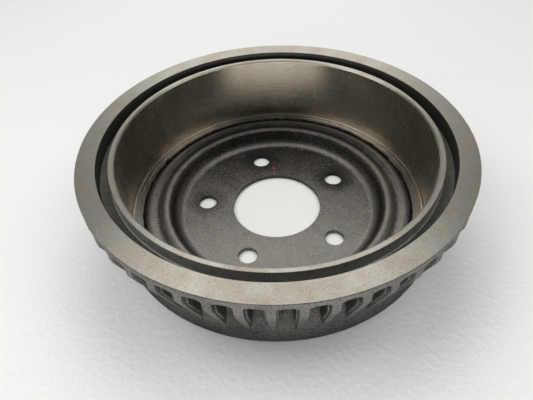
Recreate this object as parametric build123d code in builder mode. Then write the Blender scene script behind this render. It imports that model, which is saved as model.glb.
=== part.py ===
"""Brake drum for a 9 inch rear brake: a ribbed cast-iron ring cast round the edge of a pressed-steel web.

Millimetres. The axle's axis is Z, and z = 0 is the face that seats on the road wheel. The open side is up.
"""
from build123d import *
from math import radians, sin, tan
import os

os.makedirs("parts", exist_ok=True)

# Overall sizes
height = 71.5  # wheel seat to the flange face
brake_r = 114.3  # 9 inch braking surface
draft_angle = 1.5  # degrees, of the plain outside, the sides of the ribs and the pocket floors

# Fit to the hub and the road wheel
pilot_r = 35.3
stud_circle_r = 57.15  # five studs on a 4.5 inch circle
stud_hole_r = 7.15
stud_count = 5
stud_phase = 102.9  # degrees, of one hole

# Lip at the mouth of the braking surface
lip_drop = 2.2  # the lip stands this far below the flange face
lip_t = 4.2
mouth_chamfer = 1.1

# Groove between the lip and the flange, which takes the edge of the backing plate
groove_w = 7.5
groove_depth = 12.0
groove_back_t = 10.0  # iron between the groove and the ledge of the pockets
groove_floor_t = 2.6

# Flange, at the top of the ribs
flange_w = 13.7  # from the groove to the outside of the flange and the ribs
flange_t = 5.6

# Turned shoulder at the foot of the braking surface
shoulder_w = 8.5
shoulder_rise = 1.1  # it stands this far above the web where the web enters the iron
foot_chamfer = 2.2

# Outside of the iron ring
rim_t = 8.9  # iron behind the braking surface, at the bottom corner
rim_corner = 4.5
rim_lift = 0.5  # the rim stays clear of the wheel by this much
rim_mouth = 2.7  # the ring opens out by this much below the web

# Ribs, and the pockets between them
rib_count = 50
rib_phase = -84.7  # degrees, of one rib
rib_t = 5.8  # thickness under the flange
rib_upright = 13.7  # length of a rib's upright edge below the flange face
rib_foot_rise = 13.1  # from the top of the rim's corner to the foot of a rib's sloping edge
floor_step = 0.4  # the pocket floors stand this far proud of the plain outside
arch_flat = 1.3  # flat left between the two rounded corners of a pocket's arched top
overcut = 8.0  # a cutter runs past the iron by this much

# Pressed-steel web. For each crease of its upper side: how far it lies inside the shoulder, and its height
web_t = 3.2
step_shift = 1.6  # the underside lies this much further out, so that the step keeps the web's thickness
seat_edge = (30.8, web_t)  # edge of the flat that the wheel seats on
step_foot = (27.4, 4.8)
step_top = (21.8, 12.6)
bead = (18.2, 14.8)
valley = (11.9, 13.2)
ridge = (5.6, 14.4)
web_edge = (-5.7, 10.5)  # set into the iron

# Worked out from the sizes above
lip_r = brake_r + lip_t
lip_z = height - lip_drop
groove_r = lip_r + groove_w
groove_z = height - groove_depth
flange_r = groove_r + flange_w
rim_r = brake_r + rim_t
rim_top = rim_lift + rim_corner
shoulder_r = brake_r - shoulder_w
web_entry_z = ridge[1] + (web_edge[1] - ridge[1]) * ridge[0] / (ridge[0] - web_edge[0])
shoulder_z = web_entry_z + shoulder_rise
foot_top = shoulder_z + foot_chamfer
ceiling_z = height - flange_t  # of the pockets
arch_z = groove_z - groove_floor_t  # of the pockets' deep part
ledge_r = groove_r + groove_back_t
rib_shoulder_z = height - rib_upright
rib_foot_z = rim_top + rib_foot_rise
half_pitch = 180 / rib_count


def outside_r(z):
    """Radius of the plain outside at height z."""
    return rim_r + (z - rim_lift) * tan(radians(draft_angle))


def pocket_half_width(r):
    """Half the distance between two ribs under the flange, at radius r."""
    return r * sin(radians(half_pitch)) - rib_t / 2


# ---- Web: one pressing, with a step, a bead and a ripple round a flat seat ----
with BuildPart() as web:
    with BuildSketch(Plane.XZ):
        with BuildLine():
            creases = (seat_edge, step_foot, step_top, bead, valley, ridge, web_edge)
            upper = [(shoulder_r - inset, z) for inset, z in creases]
            under = [(r + step_shift, z - web_t) for r, z in reversed(upper)]
            Polyline((pilot_r, web_t), *upper, *under, (pilot_r, 0), close=True)
        make_face()
    revolve(axis=Axis.Z)
    with BuildSketch(Plane.XY):
        with PolarLocations(stud_circle_r, stud_count, start_angle=stud_phase):
            Circle(stud_hole_r)
    extrude(amount=height, mode=Mode.SUBTRACT)
web.part.label = "pressed_steel_web"

# ---- Pocket: the space between two ribs, lying along +X, to be cut from the ring ----
with BuildPart() as slot:
    with BuildSketch(Plane.XY.offset(ceiling_z)):
        with BuildLine():
            floor_r = outside_r(ceiling_z) + floor_step
            outer_r = flange_r + overcut
            floor_y = pocket_half_width(floor_r)
            outer_y = pocket_half_width(outer_r)
            corners = [(floor_r, -floor_y), (outer_r, -outer_y), (outer_r, outer_y), (floor_r, floor_y)]
            Polyline(*corners, close=True)
        make_face()
    extrude(amount=rib_foot_z - overcut - ceiling_z)
    upright = slot.faces().filter_by(lambda face: abs(face.normal_at().Z) < 0.5)
    draft(upright, Plane.XY.offset(ceiling_z), draft_angle)

with BuildPart() as deep_pocket:
    add(slot.part)
    split(bisect_by=Plane.XY.offset(arch_z), keep=Keep.BOTTOM)
    ceiling_edges = deep_pocket.edges().group_by(Axis.Z)[-1]
    fillet(ceiling_edges.filter_by(Axis.Y, reverse=True), radius=floor_y - arch_flat / 2)

with BuildPart() as shallow_pocket:
    add(slot.part)
    split(bisect_by=Plane.YZ.offset(ledge_r), keep=Keep.TOP)

# ---- Ring: turned section, then the pockets that leave the ribs, then the seat of the web ----
with BuildPart() as ring:
    with BuildSketch(Plane.XZ):
        with BuildLine():
            rim_bend = 0.3 * rim_corner
            Polyline(
                (rim_r - rim_corner, rim_lift),
                (rim_r - rim_bend, rim_lift + rim_bend),
                (outside_r(rim_top), rim_top),
                (outside_r(rib_foot_z), rib_foot_z),
                (flange_r, rib_shoulder_z),
                (flange_r, height),
                (groove_r, height),
                (groove_r, groove_z),
                (lip_r, groove_z),
                (lip_r, lip_z),
                (brake_r + mouth_chamfer, lip_z),
                (brake_r, lip_z - mouth_chamfer),
                (brake_r, foot_top),
                (brake_r - foot_chamfer, shoulder_z),
                (shoulder_r, shoulder_z),
                (shoulder_r, web_edge[1]),
                (shoulder_r + rim_mouth, rim_lift),
                (rim_r - rim_corner, rim_lift),
            )
        make_face()
    revolve(axis=Axis.Z)
    with PolarLocations(0, rib_count, start_angle=rib_phase + half_pitch):
        add(deep_pocket.part, mode=Mode.SUBTRACT)
        add(shallow_pocket.part, mode=Mode.SUBTRACT)
    add(web.part, mode=Mode.SUBTRACT)
ring.part.label = "cast_iron_ring"

export_step(web.part, "parts/pressed_steel_web.step")
export_step(ring.part, "parts/cast_iron_ring.step")
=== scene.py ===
"""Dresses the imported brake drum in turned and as-cast iron and a pressed-steel web, and sets its stage."""

import math

import bpy
import numpy as np
from bpy.props import FloatProperty, FloatVectorProperty, IntProperty, PointerProperty
from mathutils import Euler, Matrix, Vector


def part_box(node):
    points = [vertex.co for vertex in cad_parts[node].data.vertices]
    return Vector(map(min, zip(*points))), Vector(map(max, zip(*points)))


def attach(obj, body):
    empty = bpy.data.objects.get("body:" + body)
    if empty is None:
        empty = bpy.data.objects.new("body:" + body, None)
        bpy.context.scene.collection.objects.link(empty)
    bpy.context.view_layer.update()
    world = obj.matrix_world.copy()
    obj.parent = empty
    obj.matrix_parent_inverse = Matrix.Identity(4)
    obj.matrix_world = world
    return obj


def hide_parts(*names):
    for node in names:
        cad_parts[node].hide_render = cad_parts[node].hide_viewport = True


bl_info = {
    "name": "Brake drum looks",
    "version": (1, 0, 0),
    "blender": (4, 5, 0),
    "location": "View3D > Sidebar > Brake drum",
    "description": "Builds a brake drum's pieces, their finishes and a studio stage over its CAD model",
    "category": "Object",
}

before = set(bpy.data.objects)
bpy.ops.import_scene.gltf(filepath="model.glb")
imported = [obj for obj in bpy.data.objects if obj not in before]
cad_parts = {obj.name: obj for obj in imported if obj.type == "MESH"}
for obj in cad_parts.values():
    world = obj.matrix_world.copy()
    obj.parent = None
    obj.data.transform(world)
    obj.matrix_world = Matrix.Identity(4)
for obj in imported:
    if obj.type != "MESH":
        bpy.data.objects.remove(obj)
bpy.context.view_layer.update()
RING_LOW, RING_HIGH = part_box("cast_iron_ring")
WEB_LOW, WEB_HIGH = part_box("pressed_steel_web")
BODY = "root"
MM = 0.001
TURNS = 360  # straight stretches round a turned form


def length(name, about, millimetres):
    """A length property in metres, with its default given in millimetres."""
    return FloatProperty(name=name, description=about, default=millimetres * MM, unit="LENGTH", precision=4)


def angle(name, about, degrees):
    """An angle property, with its default given in degrees."""
    return FloatProperty(name=name, description=about, default=math.radians(degrees), unit="ROTATION")


def linear(code):
    """Linear red, green, blue and alpha of an sRGB hex colour."""
    parts = [int(code[i : i + 2], 16) / 255 for i in (1, 3, 5)]
    return [p / 12.92 if p <= 0.04045 else ((p + 0.055) / 1.055) ** 2.4 for p in parts] + [1.0]


def colour(name, about, code):
    """A colour property with its default given as an sRGB hex value."""
    return FloatVectorProperty(
        name=name, description=about, default=linear(code), size=4, min=0, max=1, subtype="COLOR"
    )


def power(name, about, watts):
    """The power property of a lamp."""
    return FloatProperty(name=name, description=about, default=watts, unit="POWER")


class RingSizes(bpy.types.PropertyGroup):
    """The turned inside and the rim of the iron ring."""

    flange_radius: length("Flange radius", "Outside of flange and ribs", RING_HIGH.y / MM)
    height: length("Height", "Wheel seat to flange face", RING_HIGH.z / MM)
    burr_height: length("Burr", "Thin turned edge that stands past the rim band", 0.35)
    groove_width: length("Groove width", "Groove between the lip and the flange", 7.5)
    groove_depth: length("Groove depth", "Below the flange face", 12.0)
    lip_width: length("Lip width", "Top of the lip, with its chamfer", 4.2)
    lip_drop: length("Lip drop", "Lip below the flange face", 2.2)
    mouth_chamfer: length("Mouth chamfer", "At the mouth of the braking surface", 1.1)
    brake_radius: length("Braking radius", "Surface that the shoes press on", 114.3)
    foot_radius: length("Foot radius", "Rounding at the foot of the braking surface", 2.2)
    shoulder_height: length("Shoulder height", "Turned ledge at the foot of the braking surface", 13.6)
    shoulder_width: length("Shoulder width", "Turned ledge at the foot of the braking surface", 8.5)
    rim_radius: length("Rim radius", "At the bottom corner", 123.2)
    rim_corner: length("Rim corner", "Rounding of the bottom corner", 4.5)
    rim_inner: length("Rim inner radius", "Where the underside meets the recess of the web", 108.5)
    rim_lift: length("Rim lift", "Underside of the iron above the wheel seat", RING_LOW.z / MM)


class RibSizes(bpy.types.PropertyGroup):
    """The ribs and the pockets between them."""

    count: IntProperty(name="Ribs", description="Ribs round the ring", default=50, min=3)
    first: angle("First rib", "Direction of one rib", -84.7)
    thickness: length("Thickness", "Of a rib under the flange", 6.1)
    draft: angle("Draft", "Slope of the plain outside and of the ribs' sides", 1.5)
    shoulder: length("Rib shoulder", "A rib's edge is upright above this height", 57.8)
    slope: angle("Rib slope", "Of a rib's lower edge, from upright", 22.0)
    ceiling: length("Pocket ceiling", "Height of the pockets' tops", 65.9)
    arch_top: length("Arch top", "Height of the deep part's top", 62.6)
    back_radius: length("Back radius", "Of the pockets' floors behind the groove", 131.0)
    back_foot: length("Back foot", "The pockets' floors come out from this height to the arch", 48.0)
    arch_radius: length("Arch radius", "Corners of the deep part's top", 3.4)
    shelf: length("Shelf", "Step in the pockets' sides, from the shallow part to the deep one", 1.2)
    ledge_radius: length("Ledge radius", "Back of the shallow part above the arches", 136.0)
    corner: length("Upper corner", "Rounding of the shallow part's top corners", 2.2)
    edge: length("Edge rounding", "Of the ribs' edges", 0.9)
    floor_fillet: length("Floor fillet", "Where a rib meets the pocket's floor", 2.0)


class WebSizes(bpy.types.PropertyGroup):
    """The pressed web, by the rings of its upper side."""

    thickness: length("Thickness", "Of the sheet", 3.2)
    pilot_radius: length("Pilot radius", "Hole that the hub's pilot fills", 35.3)
    stud_circle: length("Stud circle radius", "Circle that the stud holes are on", 57.15)
    hole_radius: length("Hole radius", "Of a stud hole", 7.15)
    studs: IntProperty(name="Studs", description="Stud holes", default=5, min=3)
    first: angle("First hole", "Direction of one stud hole", 102.9)
    edge_break: length("Edge break", "Rounding of the holes' edges", 0.35)
    seat: length("Seat", "Radius of the flat's edge", 77.2)
    step: length("Step", "Radius of the middle of the step", 82.9)
    bead: length("Bead", "Radius of the crest above the step", 87.2)
    valley: length("Valley", "Radius of the hollow between the crests", 93.9)
    ridge: length("Ridge", "Radius of the outer crest", 100.2)
    edge: length("Edge", "Radius where the web enters the iron", 105.6)


class IronLook(bpy.types.PropertyGroup):
    """Colours of the metals and of the marks on them, with painted shade and painted light on some."""

    turned: colour("Turned iron", "Freshly cut grey iron", "#a7a399")
    stain: colour("Stain", "Thin brown film on the turned faces", "#9c8f7c")
    honed: colour("Braking surface", "Ground iron with a brown film", "#d4cbb8")
    # Painted shade: the groove's floor, a turned face, gets this dark colour for the shade inside the
    # groove.
    groove: colour("Groove", "Darkened inside of the groove", "#62605b")
    # Painted shade: the groove's outer side, a turned wall, gets this near-black colour for the shade that
    # falls on it inside the groove.
    groove_side_shade: colour("Groove's side", "Brake dust on the groove's outer side", "#3b3936")
    # Painted light: the lip's outside lies in the flange's shade; this pale colour, with a low metallic
    # value, makes it look lit.
    lip: colour("Lip", "Outside of the lip, seen in the groove", "#c4c2bb")
    cast: colour("As-cast iron", "Sand-cast skin", "#716f6b")
    steel: colour("Web steel", "Dry pressed sheet", "#817e78")
    # Dark colour mixed in for real dirt and grain, and also for painted shade in corners, pockets, low down
    # and on the web.
    soot_and_shade: colour("Dark skin", "Scale and dirt in the corners", "#1d1b1a")
    rust: colour("Rust", "Fresh specks", "#8a4f2a")


class StageLook(bpy.types.PropertyGroup):
    """Floor and lights."""

    floor: colour("Floor", "Pale floor", "#f0f0ee")
    sky: FloatProperty(name="Fill", description="Strength of the light from all round", default=0.01)
    back: power("Back", "Of each of the two windows behind the drum", 4.35)
    top: power("Top", "Of the panel overhead", 1.8)
    sides: power("Sides", "Of the high side panels, before each one's share", 6.2)
    front: power("Front", "Of the wide low panel in front of the drum", 29.5)


def node(tree, kind, links=None, **settings):
    """Adds a node with its settings.

    links maps an input's name or number to a value or to another node's output.
    """
    made = tree.nodes.new(kind)
    for key, value in settings.items():
        setattr(made, key, value)
    for key, value in (links or {}).items():
        if isinstance(value, bpy.types.NodeSocket):
            tree.links.new(value, made.inputs[key])
        else:
            made.inputs[key].default_value = value
    return made


# ---- Shapes from rules ----


def rounded(corners, steps=4):
    """Points of an outline of (radius, height, rounding) corners, each rounding an arc of so many steps."""
    points = []
    count = len(corners)
    for i, (r, z, rounding) in enumerate(corners):
        here = Vector((r, z))
        back = Vector(corners[i - 1][:2]) - here
        on = Vector(corners[(i + 1) % count][:2]) - here
        if rounding <= 0 or i in (0, count - 1):
            points.append((here.x, here.y))
            continue
        half = back.angle(on) / 2
        reach = min(rounding / math.tan(half), 0.499 * back.length, 0.499 * on.length)
        radius = reach * math.tan(half)
        middle = here + (back.normalized() + on.normalized()).normalized() * (radius / math.sin(half))
        start = here + back.normalized() * reach - middle
        turn = (here + on.normalized() * reach - middle).angle_signed(start)
        for k in range(steps + 1):
            a = turn * k / steps
            c, s = math.cos(a), math.sin(a)
            points.append((middle.x + c * start.x - s * start.y, middle.y + s * start.x + c * start.y))
    return points


def thickened(points, amount):
    """The points of an open outline moved square to it by an amount, to the right of its run."""
    line = np.array(points)
    along = np.gradient(line, axis=0)
    along /= np.linalg.norm(along, axis=1)[:, None]
    return [tuple(p) for p in line + amount * np.stack([along[:, 1], -along[:, 0]], axis=1)]


def mesh_object(name, points, faces, slots=None, zones=None):
    """A mesh object in the scene from points in metres, with its materials and each face's slot."""
    mesh = bpy.data.meshes.new(name)
    mesh.from_pydata([tuple(p) for p in points], [], [tuple(f) for f in faces])
    for material in slots or []:
        mesh.materials.append(material)
    if zones is not None:
        mesh.polygons.foreach_set("material_index", np.asarray(zones, np.int32))
    mesh.validate()
    made = bpy.data.objects.new(name, mesh)
    bpy.context.scene.collection.objects.link(made)
    return made


def revolved(name, outline, slots=None, zones=None, turns=TURNS):
    """A closed outline of (radius, height) points turned about Z. zones gives the slot of each stretch."""
    ring = np.array(outline)
    around = 2 * math.pi * np.arange(turns) / turns
    count = len(ring)
    points = np.stack(
        [
            np.outer(np.cos(around), ring[:, 0]),
            np.outer(np.sin(around), ring[:, 0]),
            np.tile(ring[:, 1], (turns, 1)),
        ],
        axis=2,
    ).reshape(-1, 3)
    i, j = np.meshgrid(np.arange(turns), np.arange(count), indexing="ij")
    a, b = i * count + j, i * count + (j + 1) % count
    c, d = ((i + 1) % turns) * count + (j + 1) % count, ((i + 1) % turns) * count + j
    faces = np.stack([a, b, c, d], axis=2).reshape(-1, 4)
    spread = None if zones is None else np.tile(zones, turns)
    made = mesh_object(name, points, faces, slots, spread)
    face_outwards(made)
    return made


def face_outwards(piece):
    """Turns a closed mesh's faces outwards."""
    mesh = piece.data
    mesh.calc_loop_triangles()
    co = np.empty(len(mesh.vertices) * 3)
    mesh.vertices.foreach_get("co", co)
    co = co.reshape(-1, 3)
    tri = np.empty(len(mesh.loop_triangles) * 3, np.int32)
    mesh.loop_triangles.foreach_get("vertices", tri)
    a, b, c = (co[tri.reshape(-1, 3)[:, k]] for k in range(3))
    if np.einsum("ij,ij->", a, np.cross(b, c)) < 0:
        mesh.flip_normals()


def run_tree(piece, tree, inputs):
    """Runs a geometry node tree on a piece with its named inputs, and keeps the result as a plain mesh."""
    modifier = piece.modifiers.new(tree.name, "NODES")
    modifier.node_group = tree
    for item in tree.interface.items_tree:
        if item.item_type == "SOCKET" and item.in_out == "INPUT" and item.name in inputs:
            modifier[item.identifier] = inputs[item.name]
    settle(piece)
    for i in reversed(range(len(piece.data.materials))):
        if piece.data.materials[i] is None:
            piece.data.materials.pop(index=i)


def settle(piece):
    """Applies a piece's modifiers."""
    graph = bpy.context.evaluated_depsgraph_get()
    shown = piece.evaluated_get(graph)
    mesh = bpy.data.meshes.new_from_object(shown, preserve_all_data_layers=True, depsgraph=graph)
    piece.modifiers.clear()
    piece.data = mesh


def new_tree(name, inputs):
    """An empty geometry node tree with named inputs of (name, socket kind), and its ends."""
    tree = bpy.data.node_groups.new(name, "GeometryNodeTree")
    for label, kind in inputs:
        tree.interface.new_socket(label, in_out="INPUT", socket_type=kind)
    tree.interface.new_socket("Geometry", in_out="OUTPUT", socket_type="NodeSocketGeometry")
    return tree, node(tree, "NodeGroupInput").outputs, node(tree, "NodeGroupOutput").inputs


def hand_over(piece, sharp=38):
    """Shades a finished piece smooth between its edges, and fixes it to the drum's body."""
    piece.data.polygons.foreach_set("use_smooth", np.ones(len(piece.data.polygons), bool))
    piece.data.set_sharp_from_angle(angle=math.radians(sharp))
    weigh = piece.modifiers.new("Weighted normals", "WEIGHTED_NORMAL")
    weigh.keep_sharp = True
    settle(piece)
    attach(piece, BODY)


# ---- Finishes ----


def new_material(name):
    """A material with its principled shader."""
    material = bpy.data.materials.new(name)
    material.use_nodes = True
    return material, material.node_tree, material.node_tree.nodes["Principled BSDF"]


def place(tree):
    """The point on the piece, in metres."""
    return node(tree, "ShaderNodeTexCoord").outputs["Object"]


def noise(tree, where, grain_mm, detail=3.0, roughness=0.55, **more):
    """A noise pattern whose grains are so many millimetres wide."""
    links = {"Vector": where, "Scale": 1 / (grain_mm * MM), "Detail": detail, "Roughness": roughness}
    return node(tree, "ShaderNodeTexNoise", links, **more).outputs["Fac"]


def ramp(tree, value, low, high, to_low=0.0, to_high=1.0):
    """A value carried from one range to another and held at its ends."""
    links = {"Value": value, "From Min": low, "From Max": high, "To Min": to_low, "To Max": to_high}
    return node(tree, "ShaderNodeMapRange", links).outputs["Result"]


def sums(tree, operation, a, b):
    """One step of arithmetic."""
    return node(tree, "ShaderNodeMath", {0: a, 1: b}, operation=operation).outputs["Value"]


def mixed(tree, amount, one, other):
    """One colour where the amount is 0, and the other where it is 1."""
    links = {"Factor": amount, 6: one, 7: other}
    return node(tree, "ShaderNodeMix", links, data_type="RGBA").outputs[2]


def lathe_marks(tree, where, pitch_mm):
    """Rings left by a turning tool: a pattern of radius and height alone."""
    parts = node(tree, "ShaderNodeSeparateXYZ", {"Vector": where}).outputs
    flat = node(tree, "ShaderNodeCombineXYZ", {"X": parts["X"], "Y": parts["Y"]}).outputs["Vector"]
    out = node(tree, "ShaderNodeVectorMath", {0: flat}, operation="LENGTH").outputs["Value"]
    across = node(tree, "ShaderNodeCombineXYZ", {"X": out, "Y": parts["Z"]}).outputs["Vector"]
    return noise(tree, across, pitch_mm, detail=2.0, roughness=0.7, noise_dimensions="2D")


def bumped(tree, height, depth_mm, strength=1.0, normal=None):
    """A normal that follows a height pattern of so many millimetres."""
    links = {"Height": height, "Distance": depth_mm * MM, "Strength": strength}
    if normal is not None:
        links["Normal"] = normal
    return node(tree, "ShaderNodeBump", links).outputs["Normal"]


def band(tree, value, middle, half_width):
    """1 at the middle of a band and 0 beyond its half width."""
    away = sums(tree, "ABSOLUTE", sums(tree, "SUBTRACT", value, middle), 0.0)
    links = {"Value": away, "From Min": 0.0, "From Max": half_width, "To Min": 1.0, "To Max": 0.0}
    return node(tree, "ShaderNodeMapRange", links, interpolation_type="SMOOTHSTEP").outputs["Result"]


def scaled(tree, where, factors):
    """The point with each coordinate multiplied by its factor."""
    made = node(tree, "ShaderNodeVectorMath", {0: where, 1: factors}, operation="MULTIPLY")
    return made.outputs["Vector"]


def axis_distance(tree, where):
    """How far the point lies from the drum's axis."""
    flat = scaled(tree, where, (1, 1, 0))
    return node(tree, "ShaderNodeVectorMath", {0: flat}, operation="LENGTH").outputs["Value"]


def smears(tree, where):
    """Patches drawn out up the drum's wall."""
    return noise(tree, scaled(tree, where, (1, 1, 0.25)), 14, detail=4)


def turned_iron(name, look, base, marks_mm=0.5, rough=0.38, anisotropy=0.74, dull=0.32):
    """Grey iron cut on a lathe: bright across the rings of its tool marks, with a thin uneven brown film.

    dull is how dark the grains between the tool marks are.
    """
    material, tree, shader = new_material(name)
    where = place(tree)
    rings = lathe_marks(tree, where, marks_mm)
    cloud = smears(tree, where)
    grit = noise(tree, where, 0.75, detail=2)
    film = ramp(tree, cloud, 0.42, 0.68, 0.0, 0.5)
    tint = mixed(tree, film, base, look.stain)
    marks = ramp(tree, rings, 0.3, 0.7, 0.0, 0.12)
    grain = sums(tree, "ADD", ramp(tree, grit, 0.35, 0.72, 0.0, dull), marks)
    tree.links.new(mixed(tree, grain, tint, look.soot_and_shade), shader.inputs["Base Color"])
    worn = ramp(tree, cloud, 0.4, 0.7, rough, rough + 0.08)
    matt = sums(tree, "ADD", ramp(tree, rings, 0.3, 0.7, -0.05, 0.05), worn)
    tree.links.new(matt, shader.inputs["Roughness"])
    tree.links.new(bumped(tree, grit, 0.05, 0.5, bumped(tree, rings, 0.02, 0.6)), shader.inputs["Normal"])
    shader.inputs["Metallic"].default_value = 1.0
    shader.inputs["Anisotropic"].default_value = anisotropy
    shader.inputs["Anisotropic Rotation"].default_value = 0.25
    tangent = node(tree, "ShaderNodeTangent", direction_type="RADIAL", axis="Z")
    tree.links.new(tangent.outputs["Tangent"], shader.inputs["Tangent"])
    return material


def cast_iron(name, look, base, grain_mm, depth_mm, metallic=0.75, speckle=0.4, ring=None):
    """Sand-cast iron skin: matt grey, pebbled and speckled by the sand, with a few rust specks.

    Given the ring's sizes it also has painted shade low down near the floor, in the pockets and in its
    corners, and a painted shadow under the flange's edge.
    """
    material, tree, shader = new_material(name)
    where = place(tree)
    sand = noise(tree, where, grain_mm, detail=2, roughness=0.6)
    cloud = noise(tree, where, 14, detail=4)
    specks = noise(tree, where, 2.2, detail=1)
    speckled = ramp(tree, sand, 0.4, 0.6, speckle, -0.1)
    dark = sums(tree, "ADD", ramp(tree, cloud, 0.4, 0.75, 0.0, 0.25), speckled)
    if ring:
        height = node(tree, "ShaderNodeSeparateXYZ", {"Vector": where}).outputs["Z"]
        out = axis_distance(tree, where)
        # Ambient occlusion, read for painted shade in the corners.
        corners = node(tree, "ShaderNodeAmbientOcclusion", {"Distance": 12 * MM}, samples=6).outputs["AO"]
        edge, foot, top = ring.flange_radius, ring.rim_radius, ring.height
        # Each row darkens the colour as painted shade: a value, its range, and how dark at each end.
        for value, low, high, at_low, at_high in (
            (height, 0.0, 5 * ring.rim_corner, 0.4, 0.0),  # painted shade low down, near the floor
            (height, top - 1.8 * MM, top - 0.9 * MM, 0.0, 0.5),  # painted shadow under the flange's edge
            (out, edge - 4 * MM, edge - 1 * MM, 0.25, 0.0),  # painted shade in the pockets, behind the ribs' edges
            (out, foot + 3 * MM, foot + 9 * MM, 0.2, 0.0),  # painted shade on the pockets' floors
            # painted shade in the corners
            (corners, 0.3, 0.75, 0.8, 0.0),
        ):
            dark = sums(tree, "ADD", dark, ramp(tree, value, low, high, at_low, at_high))
    tint = mixed(tree, sums(tree, "MINIMUM", dark, 0.97), base, look.soot_and_shade)
    flecks = sums(tree, "MULTIPLY", ramp(tree, specks, 0.76, 0.82), 0.6)
    tree.links.new(mixed(tree, flecks, tint, look.rust), shader.inputs["Base Color"])
    tree.links.new(ramp(tree, sand, 0.3, 0.7, 0.7, 0.5), shader.inputs["Roughness"])
    tree.links.new(bumped(tree, sand, depth_mm, 0.8), shader.inputs["Normal"])
    shader.inputs["Metallic"].default_value = metallic
    return material


def pressed_steel(look, web):
    """Hot-rolled sheet after pressing and blasting: dull grey with a fine dry grit and a few rust specks.

    It has painted shade on its step, in its valley, at its edge under the iron and towards +Y, dark smudges
    round some of the holes, and painted highlights along its raised rings.
    """
    material, tree, shader = new_material("Pressed steel, blasted")
    where = place(tree)
    grit = noise(tree, where, 1.0, detail=1, roughness=0.65)
    cloud = noise(tree, where, 9, detail=4)
    specks = noise(tree, where, 4.5, detail=1)
    out = axis_distance(tree, where)
    along = node(tree, "ShaderNodeSeparateXYZ", {"Vector": where}).outputs["Y"]
    ring_shade = 0.0
    # Painted shade on the step's slope, in the valley and at the edge under the iron's shoulder.
    for middle, half_width, amount in (
        (web.step, 4.2 * MM, 0.82),
        (web.valley, 4.5 * MM, 0.55),
        (web.edge, 3.5 * MM, 0.85),
    ):
        ring_shade_band = sums(tree, "MULTIPLY", band(tree, out, middle, half_width), amount)
        ring_shade = sums(tree, "MAXIMUM", ring_shade, ring_shade_band)
    # Painted highlights on the raised rings and on the seat's rounding.
    crest_highlights = 0.0
    for middle, half_width in (
        (web.bead + 1 * MM, 4 * MM),
        (web.ridge, 2.6 * MM),
        (web.seat + 0.8 * MM, 4.2 * MM),
    ):
        crest_highlights = sums(tree, "MAXIMUM", crest_highlights, band(tree, out, middle, half_width))
    # Painted shade towards +Y, where the drum's wall shades the web, held back by the painted highlights.
    far = ramp(tree, along, -50 * MM, 70 * MM, 0.0, 0.8)
    dull = sums(tree, "MULTIPLY", far, sums(tree, "SUBTRACT", 1.0, sums(tree, "MULTIPLY", crest_highlights, 0.75)))
    dark = sums(tree, "MAXIMUM", ring_shade, sums(tree, "ADD", dull, ramp(tree, cloud, 0.4, 0.75, 0.0, 0.15)))
    for turn, amount in ((-1, 0.4), (0, 0.25), (1, 0.25)):  # smudges, by how many holes on from the first
        a = web.first + turn * 2 * math.pi / web.studs
        hole = (web.stud_circle * math.cos(a), web.stud_circle * math.sin(a), 0)
        away = node(tree, "ShaderNodeVectorMath", {0: where, 1: hole}, operation="SUBTRACT")
        reach = axis_distance(tree, away.outputs["Vector"])
        dark = sums(tree, "ADD", dark, ramp(tree, reach, 7 * MM, 19 * MM, amount, 0.0))
    dark = sums(tree, "ADD", dark, ramp(tree, grit, 0.36, 0.64, 0.4, -0.1))
    tint = mixed(tree, sums(tree, "MINIMUM", dark, 0.97), look.steel, look.soot_and_shade)
    inside = ramp(tree, out, web.seat, web.seat - 4 * MM)
    rusty = sums(tree, "MULTIPLY", ramp(tree, along, 25 * MM, 45 * MM), inside)
    flecks = sums(tree, "MULTIPLY", ramp(tree, specks, 0.71, 0.76), rusty)
    tree.links.new(mixed(tree, flecks, tint, look.rust), shader.inputs["Base Color"])
    tree.links.new(ramp(tree, grit, 0.3, 0.7, 0.42, 0.56), shader.inputs["Roughness"])
    tree.links.new(bumped(tree, grit, 0.14, 0.8), shader.inputs["Normal"])
    shader.inputs["Metallic"].default_value = 0.9
    return material


def crust(look):
    """Burnt sand and flash where the iron ran against the web: black, crumbly, with pale grains."""
    material, tree, shader = new_material("Burnt casting flash")
    where = place(tree)
    lumps = noise(tree, where, 1.5, detail=4, roughness=0.7)
    grains = noise(tree, where, 1.1, detail=1)
    pale = sums(tree, "MULTIPLY", ramp(tree, grains, 0.68, 0.76), 0.6)
    tree.links.new(mixed(tree, pale, linear("#0a0908"), look.turned), shader.inputs["Base Color"])
    tree.links.new(bumped(tree, lumps, 0.5, 1.0), shader.inputs["Normal"])
    shader.inputs["Roughness"].default_value = 0.85
    shader.inputs["Specular IOR Level"].default_value = 0.15
    return material


# ---- Pieces ----


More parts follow.
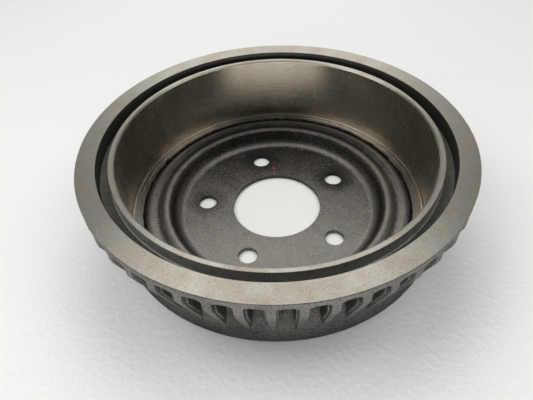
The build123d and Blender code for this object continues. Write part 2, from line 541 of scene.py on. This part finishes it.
def ring_outline(ring, ribs):
    """Outline of the turned iron, and the slot of each stretch.

    The slots are 0 face, 1 braking surface, 2 groove's floor, 3 as cast, 4 the groove's outer side,
    5 the lip's outside and 6 shoulder.
    """
    top, out = ring.height, ring.flange_radius
    lip_out = ring.brake_radius + ring.lip_width
    groove_out = lip_out + ring.groove_width
    groove_floor = top - ring.groove_depth
    lip_top = top - ring.lip_drop
    shoulder = ring.brake_radius - ring.shoulder_width
    burr = ring.brake_radius - 1.2 * MM  # outer foot of a fine raised line that the tool left
    under = groove_floor - 2.1 * MM  # stays under the groove
    plate = ribs.ceiling + 1.2 * MM  # stays inside the flange
    hidden = ring.rim_radius - 1.2 * MM  # stays behind the pockets' floors
    stretches = [
        (0, (out - 0.6 * MM, top - ring.burr_height, 0)),
        (0, (out + 0.05 * MM, top - ring.burr_height, 0)),
        (0, (out + 0.05 * MM, top, 0.45 * MM)),
        (4, (groove_out, top, 0.3 * MM)),
        (2, (groove_out, groove_floor, 0.7 * MM)),
        (5, (lip_out, groove_floor, 0.7 * MM)),
        (0, (lip_out, lip_top, 0.3 * MM)),
        (0, (ring.brake_radius + ring.mouth_chamfer, lip_top, 0.15 * MM)),
        (1, (ring.brake_radius, lip_top - ring.mouth_chamfer, 0.3 * MM)),
        (6, (ring.brake_radius, ring.shoulder_height, ring.foot_radius)),
        (1, (burr, ring.shoulder_height, 0.1 * MM)),
        (1, (burr - 0.15 * MM, ring.shoulder_height + 0.3 * MM, 0.12 * MM)),
        (1, (burr - 0.45 * MM, ring.shoulder_height + 0.3 * MM, 0.12 * MM)),
        (6, (burr - 0.6 * MM, ring.shoulder_height, 0.1 * MM)),
        (1, (shoulder + 0.45 * ring.shoulder_width, ring.shoulder_height, 0.1 * MM)),
        (6, (shoulder + 0.42 * ring.shoulder_width, ring.shoulder_height - 0.4 * MM, 0.1 * MM)),
        (3, (shoulder, ring.shoulder_height - 0.4 * MM, 0.25 * MM)),
        (3, (shoulder, WEB_HIGH.z * 0.6, 0)),
        (3, (ring.rim_inner, ring.rim_lift, 0.8 * MM)),
        (3, (ring.rim_radius - ring.rim_corner, ring.rim_lift, 0)),
        (3, (ring.rim_radius - ring.rim_corner, 6 * MM, 0)),
        (3, (hidden, 12 * MM, 0)),
        (3, (hidden, under, 0)),
        (3, (groove_out + 2.5 * MM, under + 0.2 * MM, 0)),
        (3, (groove_out + 2.5 * MM, plate, 0)),
        (3, (out - 0.6 * MM, plate, 0)),
    ]
    outline, zones = [], []
    corners = [corner for _, corner in stretches]
    count = len(corners)
    for i, (zone, corner) in enumerate(stretches):
        arc = rounded([corners[i - 1], corner, corners[(i + 1) % count]])[1:-1]
        outline += arc
        zones += [zone] * len(arc)
    return outline, zones


def plain_outside(ring, ribs, height):
    """Radius of the ring's plain outside at a height."""
    return ring.rim_radius + (height - ring.rim_lift) * math.tan(ribs.draft)


def spaced(low, high, count):
    """Evenly spaced values, both ends included."""
    return [low + (high - low) * k / (count - 1) for k in range(count)]


def rib_rows(ring, ribs):
    """Rows up the outside of one rib and its half pockets.

    Each holds its height, the radii of the rib's edge, the ledge and the floor, and how far the deep part's
    arch and the shallow part's corner come in from the rib's side.
    """
    slope = math.tan(ribs.slope)
    base = plain_outside(ring, ribs, ribs.shoulder)
    foot = ribs.shoulder - (ring.flange_radius - base) / (slope - math.tan(ribs.draft))
    deep = ribs.arch_top - ribs.arch_radius
    turns = [math.radians(a) for a in (0, 12, 25, 38, 52, 66, 79, 90)]
    rows = []

    def add(z, arch=0.0, corner=0.0, ledge=None, floor=None):
        body = plain_outside(ring, ribs, z)
        edge = min(ring.flange_radius, ring.flange_radius - (ribs.shoulder - z) * slope)
        rise = min(max((z - foot + 2 * MM) / (6 * MM), 0), 1)
        low = body + 0.4 * MM * rise
        bend = min(max((z - ribs.back_foot) / (ribs.shoulder - 1.5 * MM - ribs.back_foot), 0), 1)
        low += (ribs.back_radius - low) * bend * bend * (3 - 2 * bend)
        low = low if floor is None else floor
        rows.append((z, max(edge, low), ledge, low, arch, corner))

    plain = spaced(ring.rim_lift + ring.rim_corner, foot - 2 * MM, 4)
    for z in plain + spaced(foot - 0.5 * MM, foot + 4 * MM, 5):
        add(z)
    for z in spaced(foot + 7 * MM, ribs.shoulder, 12):
        grown = min(max((z - foot - 7 * MM) / (12 * MM), 0), 1)
        edge = ring.flange_radius - max(ribs.shoulder - z, 0) * slope
        ledge = min(ribs.ledge_radius, edge - 1.8 * MM) if grown > 0.1 else None
        add(z, arch=ribs.shelf * grown, ledge=ledge)
    ledge = ribs.ledge_radius
    for a in turns:
        z = deep + ribs.arch_radius * math.sin(a)
        edge = ring.flange_radius - max(ribs.shoulder - z, 0) * slope
        inward = ribs.shelf + ribs.arch_radius * (1 - math.cos(a))
        add(z, arch=inward, ledge=min(ledge, edge - 1.8 * MM))
    inward = ribs.shelf + ribs.arch_radius
    add(ribs.arch_top + 0.02 * MM, arch=inward, ledge=ledge, floor=ledge - 0.4 * MM)
    add(ribs.arch_top + 0.4 * MM, arch=inward, ledge=ledge, floor=ledge)
    add(ribs.ceiling - ribs.corner, arch=inward, ledge=ledge, floor=ledge)
    for a in (math.radians(30), math.radians(60), math.radians(90)):
        z = ribs.ceiling - ribs.corner * (1 - math.sin(a))
        add(z, arch=inward, corner=ribs.corner * (1 - math.cos(a)), ledge=ledge, floor=ledge)
    edge = ring.flange_radius
    for z, radius in ((0.02, edge - ribs.edge), (0.3, edge - 0.3 * ribs.edge), (0.6, edge)):
        add(ribs.ceiling + z * MM, arch=inward, corner=ribs.corner, ledge=radius, floor=radius)
    return rows


def rib_points(ring, ribs, row):
    """Points of one row, from the middle of the rib to the middle of the next pocket."""
    z, edge, ledge, floor, arch, corner = row
    side = ribs.thickness / 2 - max(ribs.ceiling - z, 0) * math.tan(ribs.draft)
    pocket = math.pi / ribs.count
    back = floor if ledge is None else ledge
    b = min(ribs.edge, 0.35 * (edge - back))
    wall = side + corner
    inner = side + max(arch, corner)
    if ledge is None:
        f = min(ribs.floor_fillet, 0.4 * (edge - floor))
        top, low = edge - b, floor + f
        radii = [edge, edge, edge - 0.3 * b, *spaced(top, low, 8), floor + 0.3 * f, floor, floor]
        gap = 0.02 * MM
        places = [0, side - b, side - 0.3 * b] + [side + gap * k for k in range(8)]
        places += [side + 7 * gap + 0.3 * f, side + 7 * gap + f]
    else:
        g = min(0.5 * MM, 0.4 * (edge - ledge))
        e = min(0.4 * MM, 0.4 * max(ledge - floor, 0))
        reach = floor * math.sin(pocket) - inner
        f = min(ribs.floor_fillet * 0.5, 0.5 * reach) if ledge - floor > 2 * MM else 0
        radii = [edge, edge, edge - 0.3 * b, edge - b, ledge + g, ledge + 0.3 * g, ledge, ledge]
        radii += [ledge - 0.3 * e, ledge - e, floor + f, floor + 0.3 * f, floor, floor]
        gap = 0.03 * MM
        places = [0, wall - b, wall - 0.3 * b, wall, wall + gap, wall + 0.3 * g, wall + g]
        places += [inner - 0.4 * MM, inner - 0.12 * MM, inner]
        places += [inner + gap, inner + gap + 0.3 * f, inner + gap + f]
        for k in range(1, len(places)):
            places[k] = max(places[k], places[k - 1] + 0.005 * MM)
    points = [(math.sqrt(r * r - y * y), y, z) for r, y in zip(radii, places)]
    last = radii[-1]
    points.append((last * math.cos(pocket), last * math.sin(pocket), z))
    return points


def rib_sector(ring, ribs):
    """One rib with half of the pocket on each side, as a closed strip of the ring's outside."""
    rows = [rib_points(ring, ribs, row) for row in rib_rows(ring, ribs)]
    corner = ring.rim_corner
    start = plain_outside(ring, ribs, ring.rim_lift + corner)
    places = [y for _, y, _ in rows[0]]
    pocket = math.pi / ribs.count

    def level(radius, z):
        points = [(math.sqrt(radius * radius - y * y), y, z) for y in places[:-1]]
        return points + [(radius * math.cos(pocket), radius * math.sin(pocket), z)]

    below = []
    for a in spaced(0, math.pi / 2, 7)[:-1]:
        below.append(level(start - corner * (1 - math.sin(a)), ring.rim_lift + corner * (1 - math.cos(a))))
    top, out = ring.height, ring.flange_radius
    inside = out - 11 * MM
    under = top - ring.groove_depth - 1.3 * MM
    above = [
        level(out, top - 0.95 * MM),
        level(out - 0.1 * MM, top - 0.7 * MM),
        level(out - 0.4 * MM, top - 0.55 * MM),
        level(out - 1.5 * MM, top - 0.5 * MM),
        level(inside, top - 1.5 * MM),
        level(inside, under),
        level(out - 20 * MM, under - 0.7 * MM),
        level(start - corner, ring.rim_lift + 6 * MM),
    ]
    rows = below + rows + above
    full = [[(x, -y, z) for x, y, z in reversed(row[1:])] + row for row in rows]
    wide = len(full[0])
    points = [p for row in full for p in row]
    faces = []
    count = len(full)
    for i in range(count):
        for j in range(wide - 1):
            a, b = i * wide + j, ((i + 1) % count) * wide + j
            faces.append((a, a + 1, b + 1, b))
    return points, faces


def ribs_tree():
    """Sets a rib round the ring as often as asked and joins the ribs."""
    tree, given, result = new_tree(
        "Ribs round the ring",
        [
            ("Geometry", "NodeSocketGeometry"),
            ("Ribs", "NodeSocketInt"),
            ("First Rib", "NodeSocketFloat"),
            ("As Cast", "NodeSocketMaterial"),
        ],
    )
    spots = node(tree, "GeometryNodeMeshLine", {"Count": given["Ribs"], "Offset": (0, 0, 0)})
    step = sums(tree, "DIVIDE", 2 * math.pi, given["Ribs"])
    index = node(tree, "GeometryNodeInputIndex").outputs["Index"]
    turn = sums(tree, "ADD", sums(tree, "MULTIPLY", index, step), given["First Rib"])
    spin = node(tree, "ShaderNodeCombineXYZ", {"Z": turn}).outputs["Vector"]
    links = {"Points": spots.outputs["Mesh"], "Instance": given["Geometry"], "Rotation": spin}
    copies = node(tree, "GeometryNodeInstanceOnPoints", links).outputs["Instances"]
    solid = node(tree, "GeometryNodeRealizeInstances", {"Geometry": copies}).outputs["Geometry"]
    links = {"Geometry": solid, "Distance": 0.002 * MM}
    joined = node(tree, "GeometryNodeMergeByDistance", links).outputs["Geometry"]
    finish = node(tree, "GeometryNodeSetMaterial", {"Geometry": joined, "Material": given["As Cast"]})
    tree.links.new(finish.outputs["Geometry"], result["Geometry"])
    return tree


def holes_tree():
    """Cuts a circle of round holes through the web, with a small flare at their upper edges."""
    tree, given, result = new_tree(
        "Stud holes",
        [
            ("Geometry", "NodeSocketGeometry"),
            ("Studs", "NodeSocketInt"),
            ("Stud Circle", "NodeSocketFloat"),
            ("Hole Radius", "NodeSocketFloat"),
            ("Edge Break", "NodeSocketFloat"),
            ("First Hole", "NodeSocketFloat"),
            ("Thickness", "NodeSocketFloat"),
            ("Material", "NodeSocketMaterial"),
        ],
    )
    links = {"Vertices": given["Studs"], "Radius": given["Stud Circle"]}
    circle = node(tree, "GeometryNodeMeshCircle", links)
    spin = node(tree, "ShaderNodeCombineXYZ", {"Z": given["First Hole"]}).outputs["Vector"]
    links = {"Geometry": circle.outputs["Mesh"], "Rotation": spin}
    spots = node(tree, "GeometryNodeTransform", links).outputs["Geometry"]
    around = 72  # sides of a hole
    links = {"Vertices": around, "Radius": given["Hole Radius"], "Depth": 20 * MM}
    bore = node(tree, "GeometryNodeMeshCylinder", links)
    wide = sums(tree, "ADD", given["Hole Radius"], sums(tree, "MULTIPLY", given["Edge Break"], 2.0))
    links = {
        "Vertices": around,
        "Radius Top": wide,
        "Radius Bottom": sums(tree, "SUBTRACT", given["Hole Radius"], given["Edge Break"]),
        "Depth": sums(tree, "MULTIPLY", given["Edge Break"], 3.0),
    }
    flare = node(tree, "GeometryNodeMeshCone", links).outputs["Mesh"]
    lift = sums(tree, "SUBTRACT", given["Thickness"], sums(tree, "MULTIPLY", given["Edge Break"], 2.0))
    up = node(tree, "ShaderNodeCombineXYZ", {"Z": lift}).outputs["Vector"]
    flare = node(tree, "GeometryNodeTransform", {"Geometry": flare, "Translation": up}).outputs["Geometry"]
    cut = given["Geometry"]
    for cutter in (bore.outputs["Mesh"], flare):
        links = {"Points": spots, "Instance": cutter}
        copies = node(tree, "GeometryNodeInstanceOnPoints", links).outputs["Instances"]
        solid = node(tree, "GeometryNodeRealizeInstances", {"Geometry": copies}).outputs["Geometry"]
        joined = node(tree, "GeometryNodeMeshBoolean", operation="DIFFERENCE", solver="EXACT")
        tree.links.new(cut, joined.inputs["Mesh 1"])
        tree.links.new(solid, joined.inputs["Mesh 2"])
        cut = joined.outputs["Mesh"]
    finish = node(tree, "GeometryNodeSetMaterial", {"Geometry": cut, "Material": given["Material"]})
    tree.links.new(finish.outputs["Geometry"], result["Geometry"])
    return tree


def web_upper(web):
    """Upper side of the web as (radius, height, rounding) corners: flat seat, step, bead and ripple."""
    t = web.thickness
    return [
        (web.pilot_radius + web.edge_break, t, 0),
        (web.seat + 0.8 * MM, t, 7 * MM),
        (web.bead - 1.4 * MM, 14.9 * MM, 5 * MM),
        (web.bead + 2.2 * MM, 14.9 * MM, 6 * MM),
        (web.valley + 0.6 * MM, 12.8 * MM, 6 * MM),
        (web.ridge, 14.7 * MM, 8 * MM),
        (110.5 * MM, 10.9 * MM, 0),
    ]


def web_outline(web):
    """Closed outline of the web: evenly thick under its upper side, with broken edges at the pilot hole."""
    upper = rounded(web_upper(web), steps=8)
    under = thickened(upper, web.thickness)
    under[0] = (upper[0][0], 0.0)
    bore, t, e = web.pilot_radius, web.thickness, web.edge_break
    hole = [(bore + 0.3 * e, 0.3 * e), (bore, e), (bore, t - e), (bore + 0.3 * e, t - 0.3 * e)]
    return upper + under[::-1] + hole


class BRAKEDRUM_OT_turned_iron(bpy.types.Operator):
    """Build the turned inside, the lip, the groove and the flange face"""

    bl_idname = "brakedrum.turned_iron"
    bl_label = "Turned iron"

    def execute(self, context):
        scene = context.scene
        ring, ribs, look = scene.drum_ring, scene.drum_ribs, scene.drum_look
        ground = {"marks_mm": 0.35, "rough": 0.22, "anisotropy": 0.9, "dull": 0.2}
        dusty = {"grain_mm": 1.4, "depth_mm": 0.1, "speckle": 0.2}
        slots = [
            turned_iron("Grey iron, turned face", look, look.turned),
            turned_iron("Grey iron, braking surface", look, look.honed, **ground),
            # Painted shade on the groove's floor.
            cast_iron("Grey iron, groove floor", look, look.groove, **dusty),
            cast_iron("Grey iron, as cast underside", look, look.cast, grain_mm=1.1, depth_mm=0.25),
            # Painted shade on the groove's outer side.
            cast_iron("Grey iron, groove side", look, look.groove_side_shade, **dusty),
            # Painted light on the lip's outside.
            cast_iron("Grey iron, lip's outside", look, look.lip, metallic=0.2, **dusty),
            turned_iron("Grey iron, shoulder", look, look.steel, rough=0.34),
        ]
        outline, zones = ring_outline(ring, ribs)
        piece = revolved("turned_iron", outline, slots, zones)
        hand_over(piece)
        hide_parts("cast_iron_ring")
        return {"FINISHED"}


class BRAKEDRUM_OT_ribbed_outside(bpy.types.Operator):
    """Build the ribs, the pockets between them and the rounded rim"""

    bl_idname = "brakedrum.ribbed_outside"
    bl_label = "Ribbed outside"

    def execute(self, context):
        scene = context.scene
        ring, ribs, look = scene.drum_ring, scene.drum_ribs, scene.drum_look
        points, faces = rib_sector(ring, ribs)
        piece = mesh_object("ribbed_outside", points, faces)
        # ring=ring adds painted shade in the pockets, corners and low down, and a painted shadow under the
        # flange's edge.
        skin = cast_iron("Grey iron, as cast", look, look.cast, grain_mm=0.9, depth_mm=0.35, ring=ring)
        inputs = {"Ribs": ribs.count, "First Rib": ribs.first, "As Cast": skin}
        run_tree(piece, ribs_tree(), inputs)
        face_outwards(piece)
        hand_over(piece)
        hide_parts("cast_iron_ring")
        return {"FINISHED"}


class BRAKEDRUM_OT_web(bpy.types.Operator):
    """Build the pressed web with its pilot hole and stud holes"""

    bl_idname = "brakedrum.web"
    bl_label = "Pressed web"

    def execute(self, context):
        scene = context.scene
        web, look = scene.drum_web, scene.drum_look
        piece = revolved("pressed_web", web_outline(web))
        inputs = {
            "Studs": web.studs,
            "Stud Circle": web.stud_circle,
            "Hole Radius": web.hole_radius,
            "Edge Break": web.edge_break,
            "First Hole": web.first,
            "Thickness": web.thickness,
            "Material": pressed_steel(look, web),
        }
        run_tree(piece, holes_tree(), inputs)
        hand_over(piece)
        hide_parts("pressed_steel_web")
        return {"FINISHED"}


class BRAKEDRUM_OT_flash(bpy.types.Operator):
    """Build the crumbly line of burnt flash between the iron and the web"""

    bl_idname = "brakedrum.flash"
    bl_label = "Casting flash"

    def execute(self, context):
        scene = context.scene
        ring, look = scene.drum_ring, scene.drum_look
        middle = ring.brake_radius - ring.shoulder_width - 0.95 * MM
        height = ring.shoulder_height - 0.75 * MM
        rng = np.random.default_rng(7)
        turns, around, lump = 900, 10, 6
        t = 2 * math.pi * np.arange(turns) / turns
        rough = rng.normal(size=(turns, around)) * 0.2 * MM
        waves = rng.normal(size=turns // lump) + 1.5 * (rng.random(turns // lump) > 0.9)
        swell = 1.25 * MM + 0.22 * MM * np.interp(np.arange(turns), np.arange(0, turns, lump), waves)
        points = []
        for i in range(turns):
            for k in range(around):
                a = 2 * math.pi * k / around
                size = max(swell[i], 0.5 * MM) + rough[i, k]
                r = middle + size * math.cos(a)
                points.append((r * math.cos(t[i]), r * math.sin(t[i]), height + size * math.sin(a)))
        faces = []
        for i in range(turns):
            for k in range(around):
                a, b = i * around + k, i * around + (k + 1) % around
                c, d = ((i + 1) % turns) * around + (k + 1) % around, ((i + 1) % turns) * around + k
                faces.append((a, b, c, d))
        piece = mesh_object("casting_flash", points, faces, [crust(look)])
        face_outwards(piece)
        hand_over(piece, sharp=180)
        return {"FINISHED"}


class BRAKEDRUM_OT_stage(bpy.types.Operator):
    """Build the floor, the lights and the camera"""

    bl_idname = "brakedrum.stage"
    bl_label = "Stage"

    def execute(self, context):
        scene = context.scene
        look = scene.drum_stage
        half = 4.0  # half of the floor's side
        corners = [(-half, -half, 0), (half, -half, 0), (half, half, 0), (-half, half, 0)]
        floor = mesh_object("floor", corners, [(0, 1, 2, 3)])
        material, tree, shader = new_material("Pale matt board")
        grain = noise(tree, place(tree), 4.5, detail=2)
        shader.inputs["Base Color"].default_value = look.floor
        tree.links.new(bumped(tree, grain, 0.35, 0.5), shader.inputs["Normal"])
        shader.inputs["Roughness"].default_value = 0.6
        floor.data.materials.append(material)
        world = bpy.data.worlds.new("Studio")
        world.use_nodes = True
        fill = world.node_tree.nodes["Background"].inputs
        fill["Color"].default_value = linear("#f2f3f5")
        fill["Strength"].default_value = look.sky
        scene.world = world
        for name, watts, spot, size in (  # each faces the drum from its spot
            ("back", look.back, (0, 1.2, 0.9), (0.9, 0.6)),
            ("back_high", look.back, (0, 0.7, 1.3), (0.9, 0.6)),
            ("back_low", look.back * 0.21, (0, 1.3, 0.45), (0.9, 0.5)),
            ("top", look.top, (0, 0, 1.4), (0.8, 0.8)),
            ("left", look.sides * 1.2, (-0.8, 0, 1.2), (0.8, 0.8)),
            ("right", look.sides * 0.85, (0.8, 0, 1.2), (0.8, 0.8)),
            ("front", look.front, (0, -1.4, 0.2), (2.0, 0.28)),
            ("front_left", look.front * 0.04, (-0.8, -0.8, 0.9), (0.6, 0.6)),
        ):
            self.light(name, watts, spot, size)
        camera = bpy.data.cameras.new("camera")
        camera.lens = 31.88
        camera.sensor_width = 36.0
        eye = bpy.data.objects.new("camera", camera)
        eye.location = (0, -0.27286, 0.27687)
        eye.rotation_euler = Euler([math.radians(a) for a in (45.427, 2.083, -0.325)])
        scene.collection.objects.link(eye)
        scene.camera = eye
        scene.view_settings.view_transform = "Standard"
        return {"FINISHED"}

    def light(self, name, watts, spot, size):
        """A soft rectangle of light that faces the drum."""
        lamp = bpy.data.lights.new(name, "AREA")
        lamp.shape = "RECTANGLE"
        lamp.size, lamp.size_y = size
        lamp.energy = watts
        made = bpy.data.objects.new(name, lamp)
        made.location = spot
        made.rotation_euler = (-Vector(spot)).to_track_quat("-Z", "Y").to_euler()
        bpy.context.scene.collection.objects.link(made)


class BRAKEDRUM_PT_panel(bpy.types.Panel):
    """Lists the drum's pieces and its stage"""

    bl_label = "Brake drum"
    bl_idname = "BRAKEDRUM_PT_panel"
    bl_space_type = "VIEW_3D"
    bl_region_type = "UI"
    bl_category = "Brake drum"

    def draw(self, context):
        for operator in OPERATORS:
            self.layout.operator(operator.bl_idname)
        for group in GROUPS:
            box = self.layout.box()
            for name in GROUPS[group].__annotations__:
                box.prop(getattr(context.scene, group), name)


OPERATORS = [
    BRAKEDRUM_OT_turned_iron,
    BRAKEDRUM_OT_ribbed_outside,
    BRAKEDRUM_OT_web,
    BRAKEDRUM_OT_flash,
    BRAKEDRUM_OT_stage,
]
GROUPS = {
    "drum_ring": RingSizes,
    "drum_ribs": RibSizes,
    "drum_web": WebSizes,
    "drum_look": IronLook,
    "drum_stage": StageLook,
}


def register():
    for group, kind in GROUPS.items():
        bpy.utils.register_class(kind)
        setattr(bpy.types.Scene, group, PointerProperty(type=kind))
    for kind in [*OPERATORS, BRAKEDRUM_PT_panel]:
        bpy.utils.register_class(kind)


def unregister():
    for kind in [BRAKEDRUM_PT_panel, *reversed(OPERATORS)]:
        bpy.utils.unregister_class(kind)
    for group, kind in reversed(GROUPS.items()):
        delattr(bpy.types.Scene, group)
        bpy.utils.unregister_class(kind)


def main():
    register()
    bpy.ops.brakedrum.turned_iron()
    bpy.ops.brakedrum.ribbed_outside()
    bpy.ops.brakedrum.web()
    bpy.ops.brakedrum.flash()
    bpy.ops.brakedrum.stage()


if __name__ == "__main__":
    main()
